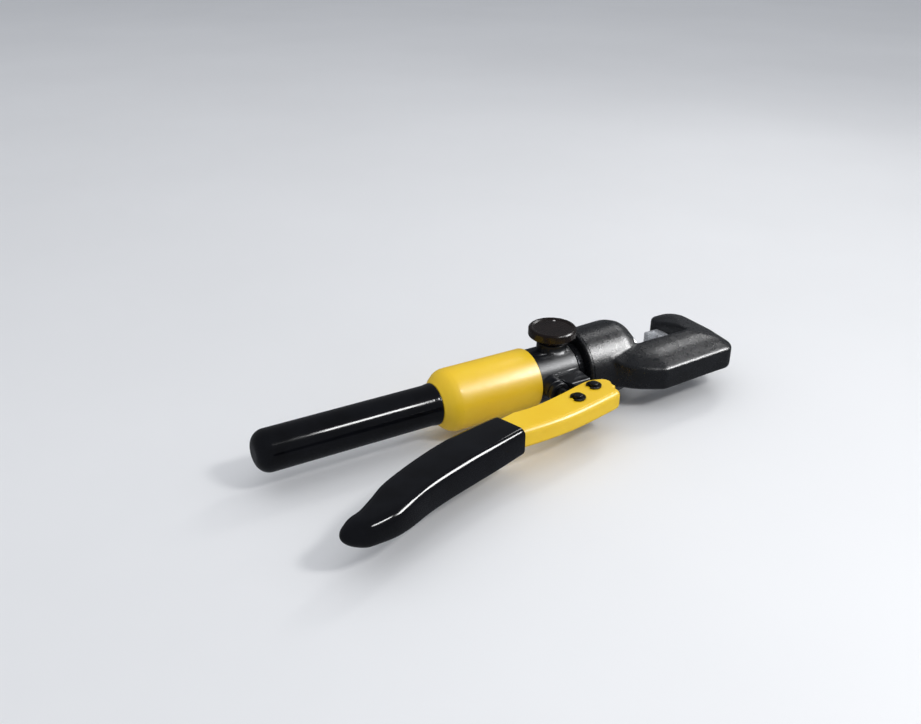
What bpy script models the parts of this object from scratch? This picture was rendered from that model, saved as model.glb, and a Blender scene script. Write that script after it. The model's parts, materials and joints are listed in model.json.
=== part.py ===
"""Hydraulic hand crimping tool: C-head, pump body, oil reservoir handle and swinging pump lever.

The numbers below are millimetres in the tool's own axes: X runs along the ram from the front
end of the reservoir sleeve towards the nose, Y towards the open side of the head, Z up through
the release knob. The empty "tool_axis" carries those axes to the part's frame, whose origin is
under the middle of the whole tool.
"""
from math import cos, pi, radians, sin, sqrt

import bmesh
import bpy
from mathutils import Matrix, Vector

MM = 0.001
MERGE = 0.00001
GAP = 0.3

# where the tool's axes sit in the part's frame
AXIS_X = 20.5
AXIS_Y = 39.3
AXIS_Z = 24.8

# ram cylinder and head
RAM_R = 15.9
BORE_R = 16.2
COLLAR_R = 24.8
COLLAR_REAR_R = 23.8
COLLAR_REAR = 35.5
COLLAR_FRONT = 78.5
RAM_STROKE = 13.0
SPINE_IN = -17.0
SPINE_OUT = -47.3
ANVIL_X = 119.5
NOSE_IN = 117.0
NOSE_OUT = 143.2
NOSE_TIP = 19.5
HEAD_HALF = 14.6
SPINE_TAPER = radians(4.0)
SPINE_TAPER_START = -78 * 0.07
FLARE_SLANT = 50.0

# dies
DIE_H = 13.0
DIE_W = 18.0
DIE_T = 10.0
DIE_HEX_R = 5.2
CATCH_UP = 1.1
SEAT_DEPTH = 2.5
RAM_SEAT = ANVIL_X - 2 * DIE_H - RAM_STROKE - 1.0

# pump body
BODY_R = 18.2
BODY_FRONT = 30.3
SPIGOT_R = 15.9
SPIGOT_FRONT = 44.0
BODY_REAR = -22.0
BODY_REAR_R = 17.2
NECK_REAR = -30.0
NECK_R = 11.0
OIL_WAY_R = 1.3

# pump lever, plunger and their two pins
FULCRUM = (23.5, -40.2)
PLUNGER_PIN = (5.6, -47.7)
PLUNGER_X = 7.35
PLUNGER_R = 4.0
PIN_R = 3.0
LUG_HALF = 4.5
LUG_R = 5.7
CHANNEL_HALF = 6.5
SHEET = 1.6
GRIP_START = -48.8
GRIP_END = -174.3
GRIP_STATIONS = (
    (GRIP_START, -54.6, 11.9, 9.0),
    (-70, -60.1, 12.7, 9.5),
    (-90, -65.6, 12.9, 9.7),
    (-110, -72.4, 12.4, 9.5),
    (-125, -78.5, 12.0, 9.3),
    (-138, -84.9, 11.8, 9.0),
    (-148, -90.3, 10.7, 8.5),
    (-158, -94.1, 8.9, 8.0),
    (-166, -95.5, 8.0, 7.5),
    (GRIP_END, -96.0, 7.2, 7.0),
)

# release valve
KNOB_X = 19.3
KNOB_R = 15.5
KNOB_TOP = 32.4
BOSS_R = 9.8

# reservoir sleeve and fixed handle
SLEEVE_R = 20.0
SLEEVE_WALL = 2.5
SLEEVE_REAR = -68.0
TUBE_R = 10.5
TUBE_WALL = 2.0
TUBE_REAR = -174.0
GRIP_R = 12.8
GRIP_REAR = -184.2

BIG = 36
MEDIUM = 28
SMALL = 16


def clear_scene():
    for obj in list(bpy.data.objects):
        bpy.data.objects.remove(obj, do_unlink=True)


clear_scene()
parts = bpy.data.collections.new("hydraulic_crimping_tool")
cutters = bpy.data.collections.new("cutters")
bpy.context.scene.collection.children.link(parts)
bpy.context.scene.collection.children.link(cutters)


def pivot(name, x, y, z):
    """An empty on a joint's axis, placed in the tool's axes."""
    empty = bpy.data.objects.new(name, None)
    parts.objects.link(empty)
    empty.location = Vector((x, y, z)) * MM
    return empty


tool_axis = pivot("tool_axis", AXIS_X, AXIS_Y, AXIS_Z)


def child_pivot(name, x, y, z):
    empty = pivot(name, x, y, z)
    empty.parent = tool_axis
    return empty


ram_axis = child_pivot("ram_axis", COLLAR_FRONT, 0, 0)
lever_axis = child_pivot("lever_axis", FULCRUM[0], FULCRUM[1], 0)
plunger_axis = child_pivot("plunger_axis", PLUNGER_X, SPINE_IN, 0)
knob_axis = child_pivot("knob_axis", KNOB_X, 0, 0)


def follow(obj, empty):
    """Parent a piece to an empty and keep its coordinates in the tool's axes."""
    obj.parent = empty
    if empty is not tool_axis:
        obj.matrix_parent_inverse = Matrix.Translation(-empty.location)


def material(name, colour, roughness, metallic):
    found = bpy.data.materials.get(name)
    if found:
        return found
    made = bpy.data.materials.new(name)
    made.use_nodes = True
    shader = made.node_tree.nodes["Principled BSDF"]
    shader.inputs["Base Color"].default_value = (*colour, 1.0)
    shader.inputs["Roughness"].default_value = roughness
    shader.inputs["Metallic"].default_value = metallic
    made.diffuse_color = (*colour, 1.0)
    return made


FINISHES = {
    "cast": ((0.018, 0.019, 0.021), 0.45, 0.6),
    "oxide": ((0.016, 0.016, 0.018), 0.3, 0.7),
    "steel": ((0.55, 0.55, 0.56), 0.25, 1.0),
    "zinc": ((0.62, 0.64, 0.66), 0.3, 1.0),
    "knob": ((0.028, 0.022, 0.021), 0.35, 0.2),
    "yellow": ((0.86, 0.6, 0.02), 0.22, 0.0),
    "vinyl": ((0.006, 0.006, 0.007), 0.12, 0.0),
    "seal": ((0.05, 0.02, 0.012), 0.5, 0.0),
    "rubber": ((0.012, 0.012, 0.012), 0.7, 0.0),
    "bronze": ((0.5, 0.32, 0.12), 0.35, 1.0),
}


def finish(obj, kind, empty):
    """Give a piece its own material and its place in the tool."""
    colour, roughness, metallic = FINISHES[kind]
    obj.data.materials.clear()
    obj.data.materials.append(material(obj.name + "_" + kind, colour, roughness, metallic))
    parts.objects.link(obj)
    follow(obj, empty)
    return obj


def as_cutter(obj):
    cutters.objects.link(obj)
    follow(obj, tool_axis)
    obj.hide_render = True
    obj.display_type = "WIRE"
    return obj


def boolean(obj, tool, operation):
    modifier = obj.modifiers.new(operation.lower() + "_" + tool.name, "BOOLEAN")
    modifier.operation = operation
    modifier.object = tool
    modifier.solver = "EXACT"


def cut(obj, *tools):
    for tool in tools:
        boolean(obj, as_cutter(tool), "DIFFERENCE")


def add(obj, *tools):
    for tool in tools:
        boolean(obj, as_cutter(tool), "UNION")


def keep(obj, *tools):
    for tool in tools:
        boolean(obj, as_cutter(tool), "INTERSECT")


TURN = {
    "X": (0, pi / 2, 0),
    "Y": (-pi / 2, 0, 0),
    "Z": (0, 0, 0),
}


def turned(name, profile, axis="X", at=(0, 0, 0), steps=MEDIUM, ring=False):
    """A turned piece. The profile lists (height, radius) from the top down its outer side."""
    mesh = bpy.data.meshes.new(name)
    bm = bmesh.new()
    verts = [bm.verts.new((radius * MM, 0, height * MM)) for height, radius in profile]
    for first, second in zip(verts, verts[1:]):
        bm.edges.new((first, second))
    if ring:
        bm.edges.new((verts[-1], verts[0]))
    bm.to_mesh(mesh)
    bm.free()
    obj = bpy.data.objects.new(name, mesh)
    obj.location = Vector(at) * MM
    obj.rotation_euler = TURN[axis]
    screw = obj.modifiers.new("turn", "SCREW")
    screw.steps = steps
    screw.render_steps = steps
    screw.use_merge_vertices = True
    screw.merge_threshold = MERGE
    screw.use_smooth_shade = True
    return obj


def rod(name, low, high, radius, axis="X", at=(0, 0, 0), steps=SMALL):
    return turned(name, [(high, 0), (high, radius), (low, radius), (low, 0)], axis, at, steps)


def stepped(name, profile, axis="X", at=(0, 0, 0), steps=SMALL):
    """A stepped drill: the profile's ends are closed to the axis."""
    return turned(name, [(profile[0][0], 0)] + profile + [(profile[-1][0], 0)], axis, at, steps)


def ring(name, low, high, inner, outer, axis="X", at=(0, 0, 0), steps=MEDIUM):
    profile = [(high, inner), (high, outer), (low, outer), (low, inner)]
    return turned(name, profile, axis, at, steps, ring=True)


def ball(name, x, y, z, radius):
    mesh = bpy.data.meshes.new(name)
    bm = bmesh.new()
    bmesh.ops.create_uvsphere(bm, u_segments=12, v_segments=8, radius=radius * MM)
    bm.to_mesh(mesh)
    bm.free()
    mesh.shade_smooth()
    obj = bpy.data.objects.new(name, mesh)
    obj.location = Vector((x, y, z)) * MM
    return obj


def box(name, low, high):
    mesh = bpy.data.meshes.new(name)
    bm = bmesh.new()
    bmesh.ops.create_cube(bm, size=1.0)
    size = (Vector(high) - Vector(low)) * MM
    bmesh.ops.scale(bm, vec=size, verts=bm.verts)
    bm.to_mesh(mesh)
    bm.free()
    obj = bpy.data.objects.new(name, mesh)
    obj.location = (Vector(low) + Vector(high)) * MM / 2
    return obj


def from_curve(name, curve):
    """The mesh of a curve object, with its caps welded on."""
    temporary = bpy.data.objects.new(name + "_curve", curve)
    bpy.context.scene.collection.objects.link(temporary)
    bpy.context.view_layer.update()
    evaluated = temporary.evaluated_get(bpy.context.evaluated_depsgraph_get())
    mesh = bpy.data.meshes.new_from_object(evaluated)
    mesh.name = name
    bm = bmesh.new()
    bm.from_mesh(mesh)
    bmesh.ops.remove_doubles(bm, verts=bm.verts, dist=MERGE)
    bmesh.ops.recalc_face_normals(bm, faces=bm.faces)
    bm.to_mesh(mesh)
    bm.free()
    bpy.data.objects.remove(temporary, do_unlink=True)
    return bpy.data.objects.new(name, mesh)


FACING = {
    "X": (pi / 2, 0, pi / 2),
    "Y": (pi / 2, 0, 0),
    "Z": (0, 0, 0),
}


def prism(name, outline, low, high, axis="Z"):
    """A flat outline extruded from low to high along an axis."""
    curve = bpy.data.curves.new(name, "CURVE")
    curve.dimensions = "2D"
    curve.fill_mode = "BOTH"
    curve.extrude = (high - low) * MM / 2
    spline = curve.splines.new("POLY")
    spline.points.add(len(outline) - 1)
    for point, (u, v) in zip(spline.points, outline):
        point.co = (u * MM, v * MM, 0, 1)
    spline.use_cyclic_u = True
    obj = from_curve(name, curve)
    obj.rotation_euler = FACING[axis]
    middle = (low + high) * MM / 2
    obj.location = {"X": (middle, 0, 0), "Y": (0, middle, 0), "Z": (0, 0, middle)}[axis]
    return obj


def arc(cx, cy, radius, start, end, count):
    """Points on an arc, angles in degrees."""
    angles = [radians(start + (end - start) * i / (count - 1)) for i in range(count)]
    return [(cx + radius * cos(a), cy + radius * sin(a)) for a in angles]


def coil(name, start, end, radius, wire, turns, axis="X", at=(0, 0, 0)):
    """A wire spring: the helix's two end points lie a wire radius inside start and end."""
    per_turn = 8
    count = int(turns * per_turn) + 1
    curve = bpy.data.curves.new(name, "CURVE")
    curve.dimensions = "3D"
    curve.bevel_depth = wire * MM / 2
    curve.bevel_resolution = 1
    curve.use_fill_caps = True
    spline = curve.splines.new("POLY")
    spline.points.add(count - 1)
    length = end - start - wire
    for i, point in enumerate(spline.points):
        angle = 2 * pi * i / per_turn
        height = start + wire / 2 + length * i / (count - 1)
        point.co = (radius * cos(angle) * MM, radius * sin(angle) * MM, height * MM, 1)
    obj = from_curve(name, curve)
    obj.data.shade_smooth()
    obj.location = Vector(at) * MM
    obj.rotation_euler = TURN[axis]
    return obj


# ---------------------------------------------------------------- head

def head_outline():
    """The C in plan: flare from the collar, spine, nose, rounded tip, anvil face and throat."""
    flare = [(50, SPINE_IN), (54, -25), (58, -31.5), (62, -36.5), (68, -41.5)]
    spine = [(78, SPINE_OUT), (126, -44.6)]
    corner = arc(NOSE_OUT - 10, -34.5, 10.0, -85, 0, 6)
    tip = arc(NOSE_OUT - 13, NOSE_TIP - 13, 13, 0, 90, 6)
    inner = arc(NOSE_IN + 8, NOSE_TIP - 8, 8, 100, 180, 5)
    throat = arc(NOSE_IN - 1.5 + 6, SPINE_IN + 6, 6, 180, 270, 4)
    back = [(COLLAR_FRONT - 3, SPINE_IN), (COLLAR_FRONT - 3, 0), (50, 0)]
    return flare + spine + corner + tip + inner + throat[-1:] + back


def head_crown():
    """The slab's half height across its width: low at the outer edge, full at the inner one."""
    upper = [(SPINE_OUT - 3, 5.6), (-40, 11.0), (-30, 13.9), (-20, HEAD_HALF), (0, 13.4), (NOSE_TIP + 3, 9.0)]
    return upper + [(y, -z) for y, z in reversed(upper)]


def nose_crown():
    """The same fall in height, towards the nose's outer face."""
    upper = [
        (NOSE_OUT + 3, 6.0), (NOSE_OUT, 7.4), (NOSE_OUT - 7.3, 11.0), (NOSE_OUT - 17.3, 13.9),
        (NOSE_OUT - 27.3, HEAD_HALF + 1), (40, HEAD_HALF + 1),
    ]
    return upper + [(x, -z) for x, z in reversed(upper)]


def flare_crown():
    """The same fall in height, towards the slanting face that joins the collar."""
    upper = [(-3, 6.0), (0, 7.4), (7.3, 11.0), (17.3, 13.9), (27.3, HEAD_HALF + 1), (120, HEAD_HALF + 1)]
    return upper + [(inward, -z) for inward, z in reversed(upper)]


def build_head():
    slab = prism("head_slab", head_outline(), -HEAD_HALF, HEAD_HALF)
    crown = prism("head_crown", head_crown(), 40, NOSE_OUT + 6, "X")
    crown.location.y = SPINE_TAPER_START * MM
    crown.rotation_euler.z += SPINE_TAPER
    keep(slab, crown)
    keep(slab, prism("nose_crown", nose_crown(), SPINE_OUT - 3, NOSE_TIP + 3, "Y"))
    slanted = prism("flare_crown", flare_crown(), -120, 120, "X")
    slanted.location = Vector((62, -36.5, 0)) * MM
    slanted.rotation_euler.z -= radians(FLARE_SLANT)
    keep(slab, slanted)
    shell = [
        (COLLAR_FRONT, 0), (COLLAR_FRONT, 17.8), (COLLAR_FRONT - 1.5, 20.4), (COLLAR_FRONT - 5, 23.3),
        (COLLAR_FRONT - 10, COLLAR_R), (COLLAR_REAR + 1.5, COLLAR_REAR_R), (COLLAR_REAR, COLLAR_REAR_R - 1.5),
        (COLLAR_REAR, 0),
    ]
    head = turned("crimping_head", shell, steps=BIG)
    add(head, slab)
    groove_r = BORE_R + 2
    bore = [(COLLAR_FRONT + 30, BORE_R), (73.4, BORE_R), (73.4, groove_r), (70, groove_r), (70, BORE_R),
            (COLLAR_REAR - 5, BORE_R)]
    cut(head, stepped("ram_bore", bore, steps=BIG))
    seat = DIE_T / 2 + GAP
    cut(head, box("anvil_seat", (NOSE_IN - 4, -DIE_W / 2 - GAP, -seat), (ANVIL_X, NOSE_TIP + 5, seat)))
    cut(head, rod("upper_catch_hole", -20, -seat + 1, 1.1, "Z", (ANVIL_X - CATCH_UP - GAP, 0, 0), steps=16))
    finish(head, "cast", tool_axis)


def build_head_fittings():
    finish(ring("head_lock_ring", BODY_FRONT + 0.8, COLLAR_REAR - 0.6, SPIGOT_R + GAP, 17.4, steps=BIG),
           "oxide", tool_axis)
    finish(ring("head_o_ring", 40.3, 41.7, 14.3, 15.8, steps=MEDIUM), "rubber", tool_axis)
    finish(ring("ram_wiper", 70.3, 73.1, BORE_R + 0.1, BORE_R + 1.7, steps=BIG), "seal", tool_axis)


def build_ram():
    front = RAM_SEAT + SEAT_DEPTH
    profile = [
        (front, 0), (front, RAM_R - 1), (front - 1, RAM_R),
        (64.3, RAM_R), (64.3, 14.3), (57.7, 14.3), (57.7, RAM_R),
        (53.3, RAM_R), (53.3, 12.8), (47.7, 12.8), (47.7, RAM_R - 0.8), (45.5, RAM_R - 0.8), (45.5, 0),
    ]
    ram = turned("ram", profile, steps=BIG)
    hollow = [(front + 5, 5), (RAM_SEAT, 5), (RAM_SEAT - 3, 2.4), (RAM_SEAT - 9, 2.4), (RAM_SEAT - 9, 8.6), (40, 8.6)]
    cut(ram, stepped("ram_hollow", hollow, steps=22))
    seat = DIE_T / 2 + GAP
    cut(ram, box("ram_seat", (RAM_SEAT, -20, -seat), (front + 5, 20, seat)))
    cut(ram, rod("lower_catch_hole", -20, -seat + 1, 1.1, "Z", (RAM_SEAT + CATCH_UP + GAP, 0, 0), steps=16))
    finish(ram, "steel", ram_axis)
    finish(ring("ram_seal", 48, 53, 13.1, RAM_R + 0.1, steps=BIG), "seal", ram_axis)
    finish(ring("ram_wear_ring", 58, 64, 14.6, RAM_R + 0.1, steps=BIG), "bronze", ram_axis)
    screw = [
        (RAM_SEAT - 0.2, 0), (RAM_SEAT - 0.2, 4.3), (RAM_SEAT - 3, 1.9), (RAM_SEAT - 13, 1.9), (RAM_SEAT - 13, 0),
    ]
    front_screw = turned("spring_front_screw", screw, steps=16)
    cut(front_screw, rod("front_screw_hex", RAM_SEAT - 2.2, RAM_SEAT + 2, 1.4, steps=6))
    finish(front_screw, "steel", ram_axis)


def build_return_spring():
    rear = [(51, 0), (51, 3.2), (48.5, 3.2), (48.5, 1.9), (37, 1.9), (37, 0)]
    finish(turned("spring_rear_screw", rear, steps=16), "steel", tool_axis)
    finish(coil("return_spring", SPIGOT_FRONT + 0.6, RAM_SEAT - 9.6, 6.4, 1.8, 7), "steel", tool_axis)


def die(name, back, face):
    """A die block on a seat, with half of the crimp hexagon in its working face."""
    low, high = sorted((back, face))
    block = box(name, (low, -DIE_W / 2, -DIE_T / 2), (high, DIE_W / 2, DIE_T / 2))
    edge = block.modifiers.new("edge", "BEVEL")
    edge.width = 0.6 * MM
    edge.segments = 1
    hexagon = rod(name + "_hexagon", -DIE_T, DIE_T, DIE_HEX_R, "Z", (face, 0, 0), steps=6)
    inward = 1 if face > back else -1
    notch = rod(name + "_notch", -DIE_T, -DIE_T / 2 + 0.7, 1.2, "Z", (back + inward * CATCH_UP, 0, 0), steps=12)
    cut(block, hexagon, notch)
    return block


def build_dies():
    seat = DIE_T / 2 + GAP
    lower_back = RAM_SEAT + GAP
    finish(die("lower_die", lower_back, lower_back + DIE_H), "zinc", ram_axis)
    upper_back = ANVIL_X - GAP
    finish(die("upper_die", upper_back, upper_back - DIE_H), "zinc", tool_axis)
    lower_z = -sqrt(RAM_R ** 2 - 1.5 ** 2) + 0.6
    finish(rod("lower_die_catch", lower_z, -seat, 0.8, "Z", (RAM_SEAT + CATCH_UP + GAP, 0, 0), steps=16),
           "steel", ram_axis)
    finish(rod("upper_die_catch", -12.6, -seat, 0.8, "Z", (ANVIL_X - CATCH_UP - GAP, 0, 0), steps=16),
           "steel", tool_axis)


# ---------------------------------------------------------------- pump body

def lug_outline(radius, reach):
    """A tapering lug from the barrel to an eye on the fulcrum."""
    x, y = FULCRUM
    if reach:
        return [(x - 14.5, -12), (x - 8.4, reach), (x + 6.6, reach), (x + 7.5, -12)]
    return [(x - 11, -10.5)] + arc(x, y, radius, 200, 370, 9) + [(x + 6.5, -10.5)]


def build_pump_body():
    profile = [
        (SPIGOT_FRONT, 0), (SPIGOT_FRONT, SPIGOT_R - 1), (SPIGOT_FRONT - 1, SPIGOT_R), (42, SPIGOT_R),
        (42, 14.0), (40, 14.0), (40, SPIGOT_R), (BODY_FRONT, SPIGOT_R), (BODY_FRONT, BODY_R - 0.6),
        (BODY_FRONT - 0.6, BODY_R), (0.3, BODY_R), (0.3, BODY_REAR_R), (-6, BODY_REAR_R), (-6, 15.4),
        (-9, 15.4), (-9, BODY_REAR_R), (BODY_REAR, BODY_REAR_R), (BODY_REAR, NECK_R),
        (NECK_REAR, NECK_R), (NECK_REAR, 0),
    ]
    body = turned("pump_body", profile, steps=BIG)
    boss = [(22.5, 0), (22.5, BOSS_R - 0.8), (21.7, BOSS_R), (8, BOSS_R), (8, 0)]
    add(body, turned("release_boss", boss, "Z", (KNOB_X, 0, 0)))
    plunger_boss = [(-9, 0), (-9, 7.0), (-23.4, 7.0), (-24, 6.4), (-24, 0)]
    add(body, turned("plunger_boss", plunger_boss, "Y", (PLUNGER_X, 0, 0)))
    add(body, prism("lug_root", lug_outline(LUG_R, -29.0), -5.5, 5.5))
    add(body, prism("lug_eye", lug_outline(LUG_R, None), -LUG_HALF, LUG_HALF))
    cut(body, rod("fulcrum_hole", -20, 20, PIN_R + GAP, "Z", (*FULCRUM, 0)))
    plunger_bore = [(3.2, PLUNGER_R + GAP), (-14, PLUNGER_R + GAP), (-14, 5.6), (-30, 5.6)]
    cut(body, stepped("plunger_bore", plunger_bore, "Y", (PLUNGER_X, 0, 0), 22))
    cut(body, rod("nut_clearance", -40, -24.1, 7.4, "Y", (PLUNGER_X, 0, 0), 24))
    oil_way = [(35.2, OIL_WAY_R), (-13, OIL_WAY_R), (-13, 3.6), (-40, 3.6)]
    cut(body, stepped("oil_way", oil_way, steps=14))
    outlet_bore = [(50, 3.6), (32, 3.6)]
    cut(body, stepped("outlet_bore", outlet_bore, "X", (0, 7.5, 0), 16))
    cut(body, rod("outlet_way", -0.3, 6, OIL_WAY_R, "Y", (33.4, 0, 0.1), steps=10))
    cut(body, rod("spring_screw_hole", 36.5, 50, 2.2, steps=18))
    release_bore = [(30, 6.8), (14, 6.8), (14, 4.3), (4.5, 4.3), (4.5, OIL_WAY_R), (-0.3, OIL_WAY_R)]
    cut(body, stepped("release_bore", release_bore, "Z", (KNOB_X, 0, 0), 22))
    relief_bore = [(0.3, OIL_WAY_R), (-6, OIL_WAY_R), (-6, 3.6), (-30, 3.6)]
    cut(body, stepped("relief_bore", relief_bore, "Z", (26, 0, 0), 14))
    finish(body, "oxide", tool_axis)


def build_plunger():
    """Round plunger with a flat slotted head: the slot takes up the pin's sideways swing."""
    low_y = PLUNGER_PIN[1]
    plunger = rod("pump_plunger", low_y + 4, -5, PLUNGER_R, "Y", (PLUNGER_X, 0, 0), steps=24)
    half = 2.9
    outer = 6.2
    flat = (arc(PLUNGER_X + half, low_y, outer, -90, 90, 7)
            + arc(PLUNGER_X - half, low_y, outer, 90, 270, 7))
    add(plunger, prism("plunger_head", flat, -LUG_HALF, LUG_HALF))
    slot = (arc(PLUNGER_X + half, low_y, 4.1, -90, 90, 7)
            + arc(PLUNGER_X - half, low_y, 4.1, 90, 270, 7))
    cut(plunger, prism("plunger_slot", slot, -10, 10))
    finish(plunger, "steel", plunger_axis)
    at = (PLUNGER_X, 0, 0)
    finish(ring("plunger_seal", -18, -14.3, PLUNGER_R + 0.1, 5.4, "Y", at, 24), "seal", tool_axis)
    nut = [(-18.3, PLUNGER_R + GAP), (-18.3, 5.3), (-24.3, 5.3), (-24.3, 6.9), (-27.6, 6.9), (-28, 6.5),
           (-28, PLUNGER_R + GAP)]
    finish(turned("plunger_gland_nut", nut, "Y", at, 24, ring=True), "steel", tool_axis)


def e_clip(name, x, y, z):
    """An open retaining ring in the groove near a pin's end."""
    clip = ring(name, z, z + 1.0, PIN_R - 0.4, 4.9, "Z", (x, y, 0), 24)
    cut(clip, box(name + "_mouth", (x - 6, y - 1.7, z - 1), (x, y + 1.7, z + 2)))
    return clip


def build_pin(name, x, y, empty, clip_empty):
    groove = CHANNEL_HALF + GAP
    tip = groove + 2.4
    half = [(tip, 0), (tip, PIN_R - 0.5), (tip - 0.5, PIN_R), (groove + 1.3, PIN_R), (groove + 1.3, PIN_R - 0.7),
            (groove - 0.3, PIN_R - 0.7), (groove - 0.3, PIN_R)]
    lower = [(-z, r) for z, r in reversed(half)]
    finish(turned(name, half + lower, "Z", (x, y, 0), 24), "oxide", empty)
    finish(e_clip(name + "_clip_top", x, y, groove), "oxide", clip_empty)
    finish(e_clip(name + "_clip_bottom", x, y, -groove - 1.0), "oxide", clip_empty)


# ---------------------------------------------------------------- lever

def grip_form(x):
    """Centre line, half width and half thickness of the lever's grip at a place along the tool."""
    last = len(GRIP_STATIONS) - 1
    i = 0
    while i < last - 1 and x < GRIP_STATIONS[i + 1][0]:
        i += 1
    ends = [GRIP_STATIONS[min(max(k, 0), last)] for k in (i - 1, i, i + 1, i + 2)]
    span = ends[2][0] - ends[1][0]
    t = (x - ends[1][0]) / span
    form = []
    for k in (1, 2, 3):
        enter = (ends[2][k] - ends[0][k]) / (ends[2][0] - ends[0][0]) * span
        leave = (ends[3][k] - ends[1][k]) / (ends[3][0] - ends[1][0]) * span
        value = (2 * t**3 - 3 * t**2 + 1) * ends[1][k] + (t**3 - 2 * t**2 + t) * enter
        value += (3 * t**2 - 2 * t**3) * ends[2][k] + (t**3 - t**2) * leave
        form.append(value)
    return form


def grip_centre(x):
    return grip_form(x)[0]


def lever_outline(grow, rear):
    """The pressed channel in plan. grow moves the part inside the grip outwards."""
    stations = [rear + (GRIP_START - rear) * i / 6 for i in range(7)]
    near = [(x, grip_centre(x) - 9.3 - grow) for x in stations]
    near += [(-22, -63.6), (0, -61.2), (29, -55.2)]
    front = [(34.5, -52.7), (37.4, -49.2), (37.4, -46.4), (35.9, -43.4)] + arc(31.4, -39.4, 5.2, -25, 75, 5)
    far = [(21.8, -32.8), (0, -38.2), (-22, -42.5), (-38, -42.8)]
    far += [(x, grip_centre(x) + 9.3 + grow) for x in reversed(stations)]
    return near + front + far


def build_lever():
    rear = -140.0
    lever = prism("moving_handle", lever_outline(0, rear), -CHANNEL_HALF, CHANNEL_HALF)
    wall = [(x, y + SHEET) for x, y in lever_outline(0, rear)[:10]]
    hollow = [(rear - 5, wall[0][1])] + wall + [(50, wall[-1][1] + 5), (50, 0), (rear - 5, 0)]
    cut(lever, prism("lever_hollow", hollow, -CHANNEL_HALF + SHEET, CHANNEL_HALF - SHEET))
    for name, (x, y) in (("fulcrum", FULCRUM), ("plunger", PLUNGER_PIN)):
        cut(lever, rod("lever_" + name + "_hole", -20, 20, PIN_R + GAP, "Z", (x, y, 0)))
    finish(lever, "yellow", lever_axis)


def grip_section(x, count):
    """A rounded rectangle across the lever, which narrows behind the palm to a blunt nose."""
    along = min(max((GRIP_END + 12 - x) / 12, 0.0), 0.985)
    tip = sqrt(1 - along * along)
    centre, half_wide, half_high = grip_form(x)
    half_wide *= tip
    half_high *= tip
    neck = min(max((-138 - x) / 20, 0.0), 1.0)
    radius = min(4.2 * (1 + 0.45 * neck), half_wide - 0.1, half_high - 0.1)
    points = []
    per_corner = count // 4
    for corner in range(4):
        sign_y = 1 if corner in (0, 3) else -1
        sign_z = 1 if corner in (0, 1) else -1
        for i in range(per_corner):
            angle = (corner + i / (per_corner - 1)) * pi / 2
            y = sign_y * (half_wide - radius) + radius * cos(angle)
            z = sign_z * (half_high - radius) + radius * sin(angle)
            points.append((x - 0.3 * y, centre + y, z))
    return points


def loft(name, sections):
    """A closed skin through rings of points, with a fan at each end."""
    mesh = bpy.data.meshes.new(name)
    bm = bmesh.new()
    rings = [[bm.verts.new(Vector(p) * MM) for p in section] for section in sections]
    for first, second in zip(rings, rings[1:]):
        for i in range(len(first)):
            j = (i + 1) % len(first)
            bm.faces.new((first[i], first[j], second[j], second[i]))
    bm.faces.new(rings[0])
    bm.faces.new(rings[-1])
    bmesh.ops.recalc_face_normals(bm, faces=bm.faces)
    bm.to_mesh(mesh)
    bm.free()
    mesh.shade_smooth()
    return bpy.data.objects.new(name, mesh)


def build_lever_grip():
    straight = [GRIP_START - 8 * i for i in range(12)]
    tail = [-143, -148, -153, -158, -162.5, -165.5, -168, -170.2, -172, -173.4, GRIP_END]
    grip = loft("moving_handle_grip", [grip_section(x, 20) for x in straight + tail])
    rear = -140.0 - GAP
    cavity = [p for p in lever_outline(GAP, rear) if p[0] < -30]
    cavity.insert(7, (-30, cavity[6][1]))
    cut(grip, prism("lever_grip_cavity", cavity, -CHANNEL_HALF - GAP, CHANNEL_HALF + GAP))
    finish(grip, "vinyl", lever_axis)


# ---------------------------------------------------------------- valves

def build_release_valve():
    at = (KNOB_X, 0, 0)
    skirt = [
        (KNOB_TOP - 0.7, 0), (KNOB_TOP - 0.7, KNOB_R - 3), (KNOB_TOP, KNOB_R - 1.6), (KNOB_TOP - 0.4, KNOB_R - 0.5),
        (KNOB_TOP - 1.2, KNOB_R), (KNOB_TOP - 5.2, KNOB_R), (KNOB_TOP - 6.2, KNOB_R - 1), (23.6, 10.4), (22.8, 9.6),
        (22.8, 4.3), (27.5, 4.3), (27.5, 0),
    ]
    knob = turned("release_knob", skirt, "Z", at, BIG)
    cut(knob, rod("knob_dimple", 31, 40, 1.5, "Z", (KNOB_X + 7.6, 8.6, 0), 12))
    finish(knob, "knob", knob_axis)
    spindle = turned("release_spindle", [(27.2, 0), (27.2, 4.0), (14.6, 4.0), (14.6, 3.9), (12, 3.9), (8.8, 1.6),
                                         (8.8, 0)], "Z", at, 24)
    finish(spindle, "steel", knob_axis)
    finish(ring("release_gland", 17.2, 22.2, 4.3, 6.5, "Z", at, 24), "steel", tool_axis)
    finish(ring("release_o_ring", 14.3, 16.9, 4.1, 6.5, "Z", at, 24), "rubber", tool_axis)
    finish(ball("release_ball", KNOB_X, 0, 7.0 - 0.6, 1.9), "steel", tool_axis)


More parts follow.
